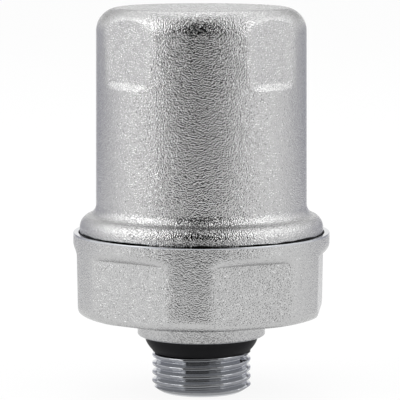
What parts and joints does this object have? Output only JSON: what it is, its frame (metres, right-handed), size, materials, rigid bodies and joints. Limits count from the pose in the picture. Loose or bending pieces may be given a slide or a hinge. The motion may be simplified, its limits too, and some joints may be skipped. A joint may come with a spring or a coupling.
{
  "type": "water hammer arrestor",
  "caption": "Compact piston water hammer arrestor: plated forged cap on a body with wrench flats, threaded connection with a rubber seal, sprung piston inside.",
  "frame": {"origin": "centre of the threaded connection's end face", "axes": "+Z along the axis, from the connection up through the cap; -Y towards the picture's camera"},
  "size_m": [0.054, 0.054, 0.0812],
  "materials": {
    "body_chrome": "satin chrome plate on shot-blasted brass forging",
    "cap_chrome": "satin chrome plate on shot-blasted brass forging",
    "seal_rubber": "matt black moulded rubber",
    "o_ring_rubber": "smooth black moulded rubber",
    "spring_steel": "drawn spring wire",
    "piston_polymer": "moulded natural acetal"
  },
  "bodies": {
    "housing": {"lower_body": "body_chrome", "upper_cap": "cap_chrome", "connection_seal": "seal_rubber", "body_o_ring": "o_ring_rubber", "counter_spring": "spring_steel"},
    "piston_assembly": {"piston": "piston_polymer", "lower_piston_o_ring": "o_ring_rubber", "upper_piston_o_ring": "o_ring_rubber"}
  },
  "joints": [
    {"name": "piston_slide", "type": "slide", "parent": "housing", "child": "piston_assembly", "axis": [0, 0, 1], "range_m": [0, 0.02], "stiffness_N_per_m": 4500, "springref_m": -0.006, "deforming": ["counter_spring"]}
  ]
}
